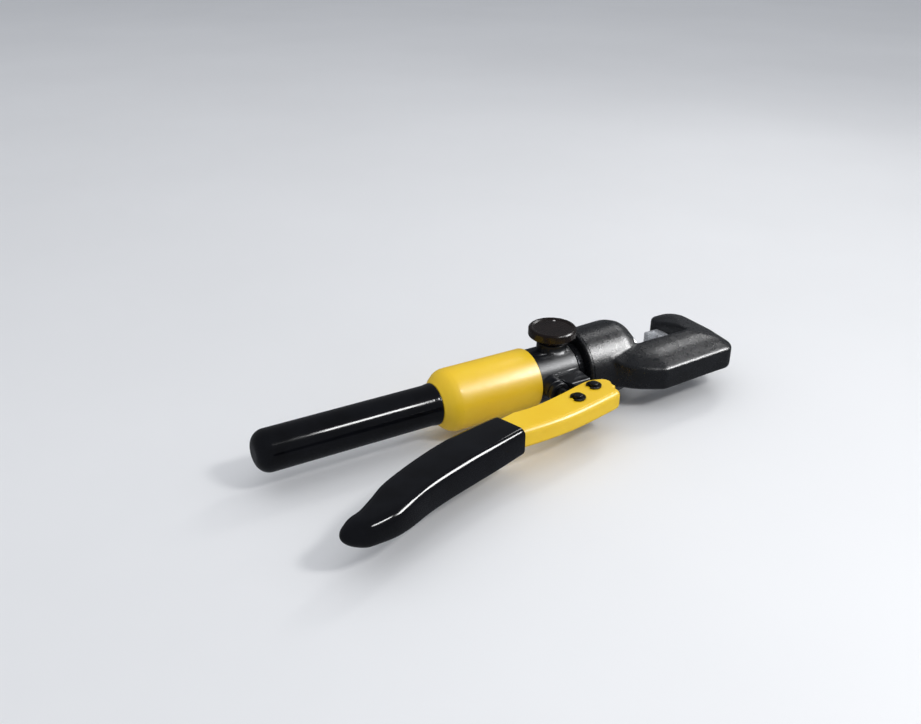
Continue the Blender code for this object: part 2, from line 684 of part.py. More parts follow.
def build_valves():
    finish(ring("inlet_seat", -29.7, -24, OIL_WAY_R, 3.3, steps=16), "steel", tool_axis)
    finish(ball("inlet_ball", -21.6, 0, 0, 2.1), "steel", tool_axis)
    finish(coil("inlet_spring", -19.2, -13.3, 2.2, 0.7, 4), "steel", tool_axis)
    at = (0, 7.5, 0)
    finish(ball("outlet_ball", 34.6, 7.5, 0, 2.1), "steel", tool_axis)
    finish(coil("outlet_spring", 37.0, 41.1, 2.2, 0.7, 3, "X", at), "steel", tool_axis)
    finish(ring("outlet_plug", 41.4, 43.8, OIL_WAY_R, 3.3, "X", at, 16), "steel", tool_axis)
    below = (26, 0, 0)
    finish(ball("relief_ball", 26, 0, -8.6, 2.1), "steel", tool_axis)
    finish(coil("relief_spring", -14.6, -11.0, 2.2, 0.7, 3, "Z", below), "steel", tool_axis)
    screw = rod("relief_adjuster", -18.0, -14.9, 3.3, "Z", below, 16)
    cut(screw, rod("relief_hex", -20, -16.2, 1.6, "Z", below, 6))
    finish(screw, "steel", tool_axis)


# ---------------------------------------------------------------- reservoir and fixed handle

def build_reservoir():
    inner = SLEEVE_R - SLEEVE_WALL
    profile = [
        (0, inner), (0, SLEEVE_R - 0.7), (-0.7, SLEEVE_R), (-57, SLEEVE_R), (-59.5, 19.6), (-62, 18.6),
        (-64.8, 16.5), (-67, 14.2), (SLEEVE_REAR, 13.2), (SLEEVE_REAR, TUBE_R + GAP), (-61, TUBE_R + GAP),
        (-58, inner),
    ]
    finish(turned("reservoir_sleeve", profile, steps=BIG, ring=True), "yellow", tool_axis)
    finish(ring("handle_tube", TUBE_REAR, -53, TUBE_R - TUBE_WALL, TUBE_R, steps=MEDIUM), "steel", tool_axis)
    bladder = [
        (-50.4, 0), (-50.4, 13.2), (-48.8, 14.4), (-35, 14.4), (-32.3, NECK_R + GAP),
        (BODY_REAR - GAP, NECK_R + GAP), (BODY_REAR - GAP, NECK_R + 2.2), (-31.5, NECK_R + 2.2), (-34, 16.0),
        (-50, 16.0), (-52.4, 14), (-52.4, 0),
    ]
    finish(turned("oil_bladder", bladder, steps=MEDIUM), "rubber", tool_axis)
    finish(ring("bladder_clamp", -29, -25, NECK_R + 2.5, NECK_R + 3.7), "steel", tool_axis)
    finish(ring("reservoir_o_ring", -8.7, -6.3, 15.7, inner - 0.1, steps=BIG), "rubber", tool_axis)
    strainer = [(NECK_REAR - GAP, 0.8), (NECK_REAR - GAP, 5.0), (-36.5, 5.0), (-36.5, 0.8)]
    finish(turned("suction_strainer", strainer, steps=16, ring=True), "bronze", tool_axis)


def build_fixed_grip():
    inner = TUBE_R + GAP
    corner = 8.5
    front = SLEEVE_REAR - GAP
    profile = [(TUBE_REAR - GAP, 0), (TUBE_REAR - GAP, inner), (front, inner), (front, GRIP_R - 0.5),
               (front - 0.5, GRIP_R)]
    profile += arc(GRIP_REAR + corner, GRIP_R - corner, corner, 90, 180, 6)
    profile += [(GRIP_REAR, 0)]
    finish(turned("fixed_handle_grip", profile), "vinyl", tool_axis)


def main():
    build_head()
    build_head_fittings()
    build_ram()
    build_return_spring()
    build_dies()
    build_pump_body()
    build_plunger()
    build_pin("fulcrum_pin", *FULCRUM, tool_axis, tool_axis)
    build_pin("plunger_pin", *PLUNGER_PIN, lever_axis, lever_axis)
    build_lever()
    build_lever_grip()
    build_release_valve()
    build_valves()
    build_reservoir()
    build_fixed_grip()


main()
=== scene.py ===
"""Visual model of the hydraulic hand crimping tool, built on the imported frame."""
import json
from math import cos, pi, radians, sin, sqrt, tan

import bmesh
import bpy
import numpy as np
from mathutils import Matrix, Vector


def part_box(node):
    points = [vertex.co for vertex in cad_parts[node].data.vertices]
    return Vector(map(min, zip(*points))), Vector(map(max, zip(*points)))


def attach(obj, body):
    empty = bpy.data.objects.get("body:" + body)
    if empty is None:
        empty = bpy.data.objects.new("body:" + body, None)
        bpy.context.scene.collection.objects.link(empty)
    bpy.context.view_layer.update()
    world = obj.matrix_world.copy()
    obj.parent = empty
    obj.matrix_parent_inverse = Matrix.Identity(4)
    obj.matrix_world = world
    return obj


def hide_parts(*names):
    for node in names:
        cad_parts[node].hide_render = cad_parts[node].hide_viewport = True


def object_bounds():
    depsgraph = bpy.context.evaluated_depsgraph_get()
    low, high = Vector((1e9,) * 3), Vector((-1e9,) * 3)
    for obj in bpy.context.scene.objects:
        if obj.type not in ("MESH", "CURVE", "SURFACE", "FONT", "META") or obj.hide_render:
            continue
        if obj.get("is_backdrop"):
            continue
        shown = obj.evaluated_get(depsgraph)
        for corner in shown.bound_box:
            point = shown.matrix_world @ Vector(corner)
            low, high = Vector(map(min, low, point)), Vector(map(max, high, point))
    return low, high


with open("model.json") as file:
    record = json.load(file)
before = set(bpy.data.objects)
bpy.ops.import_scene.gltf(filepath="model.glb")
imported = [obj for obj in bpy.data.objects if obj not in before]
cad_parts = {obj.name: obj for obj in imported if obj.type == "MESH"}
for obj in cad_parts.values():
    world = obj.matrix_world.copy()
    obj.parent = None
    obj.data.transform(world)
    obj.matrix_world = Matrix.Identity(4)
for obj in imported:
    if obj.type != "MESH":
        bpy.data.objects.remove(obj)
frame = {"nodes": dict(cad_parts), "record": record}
CAD_LOW, CAD_HIGH = (Vector(corner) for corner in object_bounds())
NODES = frame["nodes"]
RECORD = frame["record"]

MM = 0.001
GAP = 0.3

# sizes of the tool in millimetres, on axes centred on the ram
BORE_R = 16.2
RAM_R = 15.9
COLLAR_R = 24.8
COLLAR_REAR_R = 23.8
COLLAR_REAR = 35.5
COLLAR_FRONT = 78.5
SPINE_IN = -17.0
SPINE_OUT = -47.3
ANVIL_X = 119.5
NOSE_IN = 117.0
NOSE_OUT = 143.2
NOSE_TIP = 19.5
HEAD_HALF = 14.6
DIE_W = 18.0
DIE_T = 10.0
RAM_SEAT = 79.5
SEAT_DEPTH = 2.5
BODY_R = 18.2
BODY_FRONT = 30.3
SPIGOT_R = 15.9
FULCRUM = (23.5, -40.2)
PLUNGER_PIN = (5.6, -47.7)
PLUNGER_X = 7.35
PLUNGER_R = 4.0
PIN_R = 3.0
LUG_HALF = 4.5
LUG_R = 5.7
CHANNEL_HALF = 6.5
SHEET = 1.6
GRIP_START = -48.8
GRIP_END = -174.3
GRIP_STATIONS = (
    (GRIP_START, -54.6, 11.9, 9.0),
    (-70, -60.1, 12.7, 9.5),
    (-90, -65.6, 12.9, 9.7),
    (-110, -72.4, 12.4, 9.5),
    (-125, -78.5, 12.0, 9.3),
    (-138, -84.9, 11.8, 9.0),
    (-148, -90.3, 10.7, 8.5),
    (-158, -94.1, 8.9, 8.0),
    (-166, -95.5, 8.0, 7.5),
    (GRIP_END, -96.0, 7.2, 7.0),
)
KNOB_X = 19.3
KNOB_R = 15.5
KNOB_TOP = 32.4
KNOB_DIMPLE = (KNOB_X + 7.6, 8.6, KNOB_TOP - 1.6)
BOSS_R = 9.8
SLEEVE_R = 20.0
SLEEVE_INNER = 17.5
SLEEVE_REAR = -68.0
TUBE_R = 10.5
TUBE_REAR = -174.0
GRIP_R = 12.8
GRIP_REAR = -184.2
FLARE_IN_COLLAR = 8      # the head outline's first points, in or close to the collar
OUTLINE_BACK = 4         # its last points, in the throat and behind it
LEVER_CORNER = 8         # the lever's front corner and the point after it
GROWTH_X = 64.0          # where the spine grows out of the collar
GROWTH_REACH = 20.0
WORLD_GLOW = 0.55
WORLD_GLOW_IN_GLOSS = 0.15

TURN = {
    "X": Matrix(((0, 0, 1), (1, 0, 0), (0, 1, 0))).to_4x4(),
    "Y": Matrix(((0, 1, 0), (0, 0, 1), (1, 0, 0))).to_4x4(),
    "Z": Matrix.Identity(4),
}


def centre_of(node):
    low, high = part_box(node)
    return (Vector(low) + Vector(high)) / 2


# where the tool's axes sit in the frame
ORIGIN = Vector((centre_of("release_knob").x - KNOB_X * MM, centre_of("release_knob").y,
                 centre_of("reservoir_sleeve").z))
TO_FRAME = Matrix.Translation(ORIGIN) @ Matrix.Scale(MM, 4)


# ---------------------------------------------------------------- materials

class Graph:
    """A short way to lay out one material's nodes."""

    def __init__(self, name):
        self.material = bpy.data.materials.new(name)
        self.material.use_nodes = True
        self.nodes = self.material.node_tree.nodes
        self.links = self.material.node_tree.links
        self.shader = self.nodes["Principled BSDF"]
        self.place = self.nodes.new("ShaderNodeTexCoord").outputs["Object"]

    def stretched(self, x, y, z):
        node = self.nodes.new("ShaderNodeMapping")
        node.inputs["Scale"].default_value = (x, y, z)
        self.links.new(self.place, node.inputs["Vector"])
        return node.outputs["Vector"]

    def noise(self, scale, detail=3.0, rough=0.5, vector=None):
        node = self.nodes.new("ShaderNodeTexNoise")
        node.inputs["Scale"].default_value = scale
        node.inputs["Detail"].default_value = detail
        node.inputs["Roughness"].default_value = rough
        self.links.new(vector or self.place, node.inputs["Vector"])
        return node.outputs["Fac"]

    def spots(self, scale):
        node = self.nodes.new("ShaderNodeTexVoronoi")
        node.inputs["Scale"].default_value = scale
        self.links.new(self.place, node.inputs["Vector"])
        return node.outputs["Distance"]

    def close_to(self, point, radius):
        """1 within a radius of a point, 0 outside."""
        node = self.nodes.new("ShaderNodeVectorMath")
        node.operation = "DISTANCE"
        node.inputs[1].default_value = point
        self.links.new(self.place, node.inputs[0])
        edge = self.nodes.new("ShaderNodeMath")
        edge.operation = "LESS_THAN"
        edge.inputs[1].default_value = radius
        self.links.new(node.outputs["Value"], edge.inputs[0])
        return edge.outputs["Value"]

    def ramp(self, source, *stops):
        """stops: (position, colour or grey)"""
        node = self.nodes.new("ShaderNodeValToRGB")
        elements = node.color_ramp.elements
        for i, (position, value) in enumerate(stops):
            element = elements[i] if i < 2 else elements.new(position)
            element.position = position
            colour = value if isinstance(value, tuple) else (value, value, value)
            element.color = (*colour, 1)
        self.links.new(source, node.inputs["Fac"])
        return node.outputs["Color"]

    def blend(self, fac, first, second):
        node = self.nodes.new("ShaderNodeMix")
        node.data_type = "RGBA"
        for socket, value in ((node.inputs[0], fac), (node.inputs[6], first), (node.inputs[7], second)):
            if isinstance(value, float):
                socket.default_value = value
            elif isinstance(value, tuple):
                socket.default_value = (*value, 1)
            else:
                self.links.new(value, socket)
        return node.outputs[2]

    def bump(self, *layers):
        """layers: (height, strength, depth in millimetres)"""
        last = None
        for height, strength, depth in layers:
            node = self.nodes.new("ShaderNodeBump")
            node.inputs["Strength"].default_value = strength
            node.inputs["Distance"].default_value = depth * MM
            self.links.new(height, node.inputs["Height"])
            if last:
                self.links.new(last, node.inputs["Normal"])
            last = node.outputs["Normal"]
        self.links.new(last, self.shader.inputs["Normal"])

    def feed(self, **sources):
        for name, value in sources.items():
            socket = self.shader.inputs[name.replace("_", " ")]
            if hasattr(value, "is_output"):
                self.links.new(value, socket)
            else:
                socket.default_value = value
        return self.material


def cast_black():
    """Baked black coating over fine cast grain."""
    g = Graph("head_black_cast")
    grain = g.noise(1000, 4, 0.66)
    patches = g.noise(95, 4, 0.6)
    g.feed(Base_Color=g.ramp(patches, (0.3, (0.004, 0.0046, 0.0056)), (0.7, (0.008, 0.009, 0.011))),
           Roughness=g.ramp(g.noise(330, 5, 0.7), (0.25, 0.22), (0.75, 0.36)), IOR=1.6)
    g.bump((grain, 1.0, 0.15), (g.noise(380, 3), 0.2, 0.12))
    return g.material


def oxide_black():
    """Satin black oxide on turned steel, with faint tool marks round the barrel."""
    g = Graph("black_oxide")
    marks = g.noise(420, 2, 0.5, g.stretched(9, 0.35, 0.35))
    tone = g.ramp(g.noise(120, 4, 0.6), (0.3, (0.005, 0.0056, 0.0075)), (0.72, (0.011, 0.0125, 0.0165)))
    g.feed(Base_Color=tone,
           Roughness=g.ramp(g.noise(520, 5, 0.65), (0.25, 0.26), (0.8, 0.40)), Metallic=0.2)
    g.bump((marks, 0.16, 0.05), (g.noise(1500, 3), 0.16, 0.04))
    return g.material


def yellow_enamel():
    """Gloss enamel with slight orange peel, a little thinner and darker in places."""
    g = Graph("yellow_enamel")
    tone = g.ramp(g.noise(38, 3, 0.55), (0.25, (0.90, 0.56, 0.014)), (0.75, (0.93, 0.62, 0.022)))
    specks = g.ramp(g.noise(900, 2, 0.4), (0.70, 0.0), (0.78, 0.55))
    g.feed(Base_Color=g.blend(specks, tone, (0.70, 0.42, 0.012)),
           Roughness=g.ramp(g.noise(210, 4, 0.6), (0.3, 0.34), (0.75, 0.46)),
           Coat_Weight=0.12, Coat_Roughness=0.16)
    g.bump((g.noise(330, 2, 0.4), 0.07, 0.08), (g.noise(60, 2), 0.10, 0.20))
    return g.material


def dipped_vinyl():
    """Gloss black vinyl with the slow ripple of a dip, dust and fine rubs."""
    g = Graph("black_vinyl")
    rubs = g.noise(300, 4, 0.7, g.stretched(0.35, 2.2, 2.2))
    g.feed(Base_Color=g.ramp(g.noise(70, 3), (0.3, (0.0025, 0.0026, 0.0034)), (0.75, (0.0055, 0.006, 0.008))),
           Roughness=g.ramp(rubs, (0.35, 0.08), (0.8, 0.17)), IOR=1.42)
    g.bump((g.noise(48, 2, 0.4), 0.20, 0.35), (g.noise(700, 3), 0.02, 0.04))
    return g.material


def knob_black():
    """Brownish black oxide with a fine satin face, painted pale in the drilled dimple, for its bare metal and
    as a painted highlight for its glint.
    """
    g = Graph("knob_black")
    # painted highlight: the dimple is painted pale grey to stand in for its glint, and for the bare metal of
    # the drill point
    bare_metal_and_painted_glint = g.close_to(ORIGIN + Vector(KNOB_DIMPLE) * MM, 1.1 * MM)
    face = g.ramp(g.noise(160, 4, 0.6), (0.3, (0.007, 0.0045, 0.004)), (0.75, (0.014, 0.0085, 0.007)))
    g.feed(Base_Color=g.blend(bare_metal_and_painted_glint, face, (0.75, 0.72, 0.70)),
           Roughness=g.ramp(g.noise(620, 5, 0.7), (0.25, 0.20), (0.8, 0.33)), IOR=1.4)
    g.bump((g.noise(1300, 3, 0.6), 0.20, 0.05), (g.noise(260, 3), 0.12, 0.10))
    return g.material


def zinc_plate():
    """Bright zinc over ground steel, with cloudy passivation."""
    g = Graph("zinc_plate")
    cloud = g.noise(150, 4, 0.6)
    lines = g.noise(700, 3, 0.6, g.stretched(0.4, 0.4, 7))
    g.feed(Base_Color=g.ramp(cloud, (0.3, (0.60, 0.62, 0.65)), (0.75, (0.80, 0.81, 0.82))),
           Roughness=g.ramp(lines, (0.3, 0.20), (0.8, 0.34)), Metallic=0.6)
    g.bump((lines, 0.05, 0.04))
    return g.material


def ground_steel():
    """Ground steel under a film of oil."""
    g = Graph("bright_steel")
    lines = g.noise(600, 4, 0.6, g.stretched(6, 1, 1))
    g.feed(Base_Color=g.ramp(g.noise(180, 4), (0.3, (0.42, 0.43, 0.45)), (0.75, (0.62, 0.63, 0.65))),
           Roughness=g.ramp(lines, (0.3, 0.16), (0.8, 0.34)), Metallic=1.0)
    g.bump((lines, 0.10, 0.03))
    return g.material


def pin_black():
    """Dark oxide on the pins and clips, worn brighter where the clips rub."""
    g = Graph("pin_black_oxide")
    wear = g.ramp(g.noise(800, 4, 0.7), (0.58, 0.0), (0.72, 0.5))
    g.feed(Base_Color=g.blend(wear, (0.014, 0.015, 0.018), (0.20, 0.20, 0.21)),
           Roughness=g.ramp(g.noise(500, 4), (0.3, 0.24), (0.8, 0.40)), Metallic=0.7)
    g.bump((g.noise(1400, 3), 0.15, 0.04))
    return g.material


def nitrile():
    """Matt black rubber of the seals and the bladder."""
    g = Graph("black_rubber")
    g.feed(Base_Color=g.ramp(g.noise(140, 4), (0.3, (0.012, 0.012, 0.012)), (0.75, (0.028, 0.027, 0.026))),
           Roughness=g.ramp(g.noise(500, 4), (0.3, 0.55), (0.8, 0.75)))
    g.bump((g.noise(1600, 3), 0.20, 0.04))
    return g.material


def bronze():
    """Bronze-filled bearing tape."""
    g = Graph("bronze_filled_tape")
    g.feed(Base_Color=g.ramp(g.noise(260, 4), (0.3, (0.42, 0.26, 0.12)), (0.75, (0.62, 0.42, 0.22))),
           Roughness=g.ramp(g.noise(700, 4), (0.3, 0.32), (0.8, 0.5)), Metallic=1.0)
    g.bump((g.spots(2200), 0.30, 0.05))
    return g.material


def pale_floor():
    """A plain pale floor, which isn't part of the tool."""
    g = Graph("studio_floor")
    g.feed(Base_Color=g.ramp(g.noise(3, 3), (0.3, (0.80, 0.80, 0.80)), (0.7, (0.83, 0.83, 0.83))),
           Roughness=g.ramp(g.noise(60, 3), (0.3, 0.62), (0.7, 0.70)))
    return g.material


FINISH = {
    "head_black_cast": cast_black(), "black_oxide": oxide_black(), "yellow_enamel": yellow_enamel(),
    "black_vinyl": dipped_vinyl(), "zinc_plate": zinc_plate(), "knob_black": knob_black(),
    "black_rubber": nitrile(), "bronze_filled_tape": bronze(), "bright_steel": ground_steel(),
}
DARK_PINS = pin_black()
SLOT_OF = {entry["node"]: entry["material_slot"] for entry in RECORD["subparts"]}
BODY_OF = {node: body for body, group in RECORD["behaviour"]["bodies"].items() for node in group}


# ---------------------------------------------------------------- mesh helpers

def new_object(name, mesh):
    obj = bpy.data.objects.new(name, mesh)
    bpy.context.scene.collection.objects.link(obj)
    return obj


def from_bmesh(name, bm):
    bmesh.ops.recalc_face_normals(bm, faces=bm.faces)
    mesh = bpy.data.meshes.new(name)
    bm.to_mesh(mesh)
    bm.free()
    return new_object(name, mesh)


def settle(obj):
    """Applies the modifiers."""
    bpy.context.view_layer.update()
    graph = bpy.context.evaluated_depsgraph_get()
    mesh = bpy.data.meshes.new_from_object(obj.evaluated_get(graph))
    obj.modifiers.clear()
    spent = obj.data
    obj.data = mesh
    bpy.data.meshes.remove(spent)
    return obj


def combine(target, operation, *tools):
    for tool in tools:
        step = target.modifiers.new("step", "BOOLEAN")
        step.operation = operation
        step.solver = "EXACT"
        step.object = tool
    settle(target)
    for tool in tools:
        bpy.data.objects.remove(tool, do_unlink=True)
    return target


def join(target, *tools):
    return combine(target, "UNION", *tools)


def cut(target, *tools):
    return combine(target, "DIFFERENCE", *tools)


def soften(obj, voxel, passes, pull=None):
    """Rounds every edge by remeshing and smoothing. pull(point) is each point's share of the smoothing."""
    remesh = obj.modifiers.new("remesh", "REMESH")
    remesh.mode = "VOXEL"
    remesh.voxel_size = voxel
    settle(obj)
    smooth = obj.modifiers.new("smooth", "SMOOTH")
    smooth.factor = 0.5
    smooth.iterations = passes
    if pull:
        group = obj.vertex_groups.new(name="pull")
        for vert in obj.data.vertices:
            share = pull(vert.co)
            if share > 0:
                group.add([vert.index], share, "REPLACE")
        smooth.vertex_group = "pull"
    settle(obj)
    obj.vertex_groups.clear()
    return obj


def edged(obj, width, segments=3, angle=30):
    bevel = obj.modifiers.new("edge", "BEVEL")
    bevel.width = width
    bevel.segments = segments
    bevel.limit_method = "ANGLE"
    bevel.angle_limit = radians(angle)
    bevel.harden_normals = True
    return settle(obj)


def level(obj, angle):
    """Shades flat faces flat up to their rounded edges."""
    obj.data.shade_smooth()
    obj.data.set_sharp_from_angle(angle=radians(angle))
    weighted = obj.modifiers.new("level", "WEIGHTED_NORMAL")
    weighted.keep_sharp = True
    weighted.weight = 60
    return settle(obj)


def rounded(points, closed=False, segments=6):
    """A polyline whose corners with a third value are turned into arcs of that radius."""
    path = []
    for i, point in enumerate(points):
        inner = closed or 0 < i < len(points) - 1
        if len(point) < 3 or not point[2] or not inner:
            path.append(Vector(point[:2]))
            continue
        before, corner, after = (Vector(points[k % len(points)][:2]) for k in (i - 1, i, i + 1))
        u = before - corner
        v = after - corner
        half = u.angle(v) / 2
        reach = min(point[2] / tan(half), 0.49 * u.length, 0.49 * v.length)
        radius = reach * tan(half)
        u.normalize()
        v.normalize()
        middle = corner + (u + v).normalized() * (radius / sin(half))
        first = corner + u * reach - middle
        last = corner + v * reach - middle
        sweep = first.angle(last)
        for k in range(segments + 1):
            t = k / segments
            path.append(middle + (first * sin((1 - t) * sweep) + last * sin(t * sweep)) / sin(sweep))
    return path


def flowing(points, per=6):
    """A smooth curve through the points."""
    path = []
    last = len(points) - 1
    for i in range(last):
        a, b, c, d = (Vector(points[min(max(k, 0), last)]) for k in (i - 1, i, i + 1, i + 2))
        for k in range(per):
            t = k / per
            path.append(0.5 * (2 * b + (c - a) * t + (2 * a - 5 * b + 4 * c - d) * t * t
                               + (3 * b - a - 3 * c + d) * t ** 3))
    path.append(Vector(points[-1]))
    return path


def arc(x, y, radius, start, end, count):
    """count + 1 points on an arc, in degrees."""
    angles = [radians(start + (end - start) * i / count) for i in range(count + 1)]
    return [(x + radius * cos(a), y + radius * sin(a)) for a in angles]


def turned(name, profile, axis="X", at=(0, 0, 0), steps=144, closed=False):
    """Turns a profile of (along, radius[, corner radius]) about an axis."""
    path = rounded(profile, closed)
    bm = bmesh.new()
    rings = []
    for along, radius in path:
        if radius < 1e-6:
            rings.append([bm.verts.new((0, 0, along))])
            continue
        turn = [2 * pi * i / steps for i in range(steps)]
        rings.append([bm.verts.new((radius * cos(a), radius * sin(a), along)) for a in turn])
    pairs = list(zip(rings, rings[1:]))
    if closed:
        pairs.append((rings[-1], rings[0]))
    for first, second in pairs:
        if len(first) == 1 and len(second) == 1:
            continue
        for i in range(steps):
            j = (i + 1) % steps
            if len(first) == 1:
                bm.faces.new((first[0], second[j], second[i]))
            elif len(second) == 1:
                bm.faces.new((first[i], first[j], second[0]))
            else:
                bm.faces.new((first[i], first[j], second[j], second[i]))
    bm.transform(Matrix.Translation(Vector(at)) @ TURN[axis])
    return from_bmesh(name, bm)


def rod(name, low, high, radius, axis="Z", at=(0, 0, 0), steps=64, edge=0.0):
    return turned(name, [(low, 0), (low, radius, edge), (high, radius, edge), (high, 0)], axis, at, steps)


def prism(name, outline, low, high):
    """A flat outline, raised from low to high."""
    bm = bmesh.new()
    base = bm.faces.new([bm.verts.new((p[0], p[1], low)) for p in outline])
    lifted = bmesh.ops.extrude_face_region(bm, geom=[base])
    moved = [e for e in lifted["geom"] if isinstance(e, bmesh.types.BMVert)]
    bmesh.ops.translate(bm, verts=moved, vec=(0, 0, high - low))
    return from_bmesh(name, bm)


def box(name, low, high):
    outline = [(low[0], low[1]), (high[0], low[1]), (high[0], high[1]), (low[0], high[1])]
    return prism(name, outline, low[2], high[2])


def loft(name, sections):
    """A closed skin through rings of points."""
    bm = bmesh.new()
    rings = [[bm.verts.new(p) for p in section] for section in sections]
    for first, second in zip(rings, rings[1:]):
        for i in range(len(first)):
            j = (i + 1) % len(first)
            bm.faces.new((first[i], first[j], second[j], second[i]))
    bm.faces.new(rings[0])
    bm.faces.new(rings[-1])
    return from_bmesh(name, bm)


def finish(obj, *nodes, look=None, angle=38, scale=True):
    """Puts a piece in the frame in place of its CAD nodes."""
    if scale:
        obj.data.transform(TO_FRAME)
    slot = SLOT_OF[nodes[0]]
    obj.data.materials.clear()
    obj.data.materials.append(look or FINISH[slot])
    obj.data.shade_smooth()
    obj.data.set_sharp_from_angle(angle=radians(angle))
    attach(obj, BODY_OF[nodes[0]])
    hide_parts(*nodes)
    return obj


def refined(node, width):
    """A CAD node with its edges broken."""
    obj = new_object(node + "_edged", NODES[node].data.copy())
    bm = bmesh.new()
    bm.from_mesh(obj.data)
    bmesh.ops.remove_doubles(bm, verts=bm.verts, dist=1e-6)
    bmesh.ops.dissolve_limit(bm, angle_limit=radians(2), verts=bm.verts, edges=bm.edges)
    bm.to_mesh(obj.data)
    bm.free()
    edged(obj, width * MM)
    return finish(obj, node, scale=False)


# ---------------------------------------------------------------- head

def head_outline():
    flare = flowing([(50, SPINE_IN), (54, -25), (58, -31.5), (62, -36.5), (68, -41.5), (78, SPINE_OUT)], 5)
    spine = [(126, -44.6)]
    corner = arc(NOSE_OUT - 10, -34.5, 10.0, -85, 0, 14)
    tip = arc(NOSE_OUT - 13, NOSE_TIP - 13, 13, 0, 90, 14)
    inner = arc(NOSE_IN + 8, NOSE_TIP - 8, 8, 100, 180, 12)
    throat = [(NOSE_IN + 4.5, SPINE_IN)]
    back = [(COLLAR_FRONT - 3, SPINE_IN), (COLLAR_FRONT - 3, 0), (50, 0)]
    return [tuple(p) for p in flare] + spine + corner + tip + inner + throat + back


def crown_height(gap, y):
    """Half height of the head's arm: low at the outer wall, full towards the throat."""
    steps = ((0, 6.8), (1.5, 7.9), (8, 11.1), (13, 13.0), (18, 14.1), (25, HEAD_HALF), (99, HEAD_HALF))
    for (low, first), (high, last) in zip(steps, steps[1:]):
        if gap <= high:
            height = first + (last - first) * (gap - low) / (high - low)
            break
    lift = 2.2 * min(max((y + 40) / 22, 0), 1) * max(1 - gap / 14, 0)
    return height + lift


def build_head():
    outline = head_outline()
    slab = prism("slab", outline, -HEAD_HALF, HEAD_HALF)
    soften(slab, 0.7, 1)
    wall = np.array(outline[FLARE_IN_COLLAR:-OUTLINE_BACK])
    start = wall[:-1]
    run = np.diff(wall, axis=0)
    length2 = (run ** 2).sum(1)

    def gap_at(point):
        """How far a point lies in from the head's outer wall."""
        here = np.array((point.x, point.y))
        t = np.clip(((here - start) * run).sum(1) / length2, 0, 1)
        return sqrt(((start + run * t[:, None] - here) ** 2).sum(1).min())

    for vert in slab.data.vertices:
        vert.co.z *= crown_height(gap_at(vert.co), vert.co.y) / HEAD_HALF

    def slope(point):
        """1 on the sloping face between the outer wall and the throat, 0 at both edges."""
        gap = gap_at(point)
        return min(max((gap - 2.5) / 3, 0), 1) * min(max((22 - gap) / 5, 0), 1)

    soften(slab, 0.7, 36, slope)
    shell = [
        (COLLAR_FRONT, 0), (COLLAR_FRONT, 17.8, 1.5), (COLLAR_FRONT - 2.5, 22.4, 5),
        (COLLAR_FRONT - 10, COLLAR_R, 14), (COLLAR_REAR, COLLAR_REAR_R, 1.2), (COLLAR_REAR, 0),
    ]
    head = join(turned("crimping_head_cast", shell, steps=180), slab)

    def junction(p):
        """1 where the spine grows out of the collar, 0 away from it."""
        near = 1 - min(abs(p.x - GROWTH_X) / GROWTH_REACH, 1)
        return min(max((-11 - p.y) / 6, 0), 1) * min(2 * near, 1)

    soften(head, 0.6, 40, junction)
    soften(head, 0.5, 9)
    bore = [(COLLAR_FRONT + 30, 0), (COLLAR_FRONT + 30, BORE_R),
            (COLLAR_REAR - 5, BORE_R), (COLLAR_REAR - 5, 0)]
    groove = [(COLLAR_REAR + 2.0, COLLAR_REAR_R - 0.35), (COLLAR_REAR + 2.0, 30), (COLLAR_REAR + 2.7, 30),
              (COLLAR_REAR + 2.7, COLLAR_REAR_R - 0.35)]
    seat = DIE_T / 2 + GAP
    cut(head, turned("bore", bore, steps=144), turned("groove", groove, steps=180, closed=True),
        box("anvil_seat", (NOSE_IN - 4, -DIE_W / 2 - GAP, -seat), (ANVIL_X, NOSE_TIP + 5, seat)),
        rod("catch_hole", -20, -seat + 1, 1.1, "Z", (ANVIL_X - 1.4, 0, 0)))
    finish(head, "crimping_head")


def build_ram():
    front = RAM_SEAT + SEAT_DEPTH
    profile = [(front, 0), (front, RAM_R, 1.0), (64.3, RAM_R, 0.2), (64.3, 14.3), (57.7, 14.3),
               (57.7, RAM_R, 0.2), (53.3, RAM_R, 0.2), (53.3, 12.8), (47.7, 12.8),
               (47.7, RAM_R - 0.8, 0.3), (45.5, RAM_R - 0.8, 0.3), (45.5, 0)]
    ram = turned("ram_ground", profile)
    hollow = [(front + 5, 0), (front + 5, 5), (RAM_SEAT, 5), (RAM_SEAT - 3, 2.4), (RAM_SEAT - 9, 2.4),
              (RAM_SEAT - 9, 8.6), (40, 8.6), (40, 0)]
    seat = DIE_T / 2 + GAP
    cut(ram, turned("hollow", hollow, steps=96), box("seat", (RAM_SEAT, -20, -seat), (front + 5, 20, seat)),
        rod("catch_hole", -20, -seat + 1, 1.1, "Z", (RAM_SEAT + 1.4, 0, 0)))
    edged(ram, 0.15, 2)
    finish(ram, "ram")
    refined("lower_die", 0.22)
    refined("upper_die", 0.22)


# ---------------------------------------------------------------- pump body

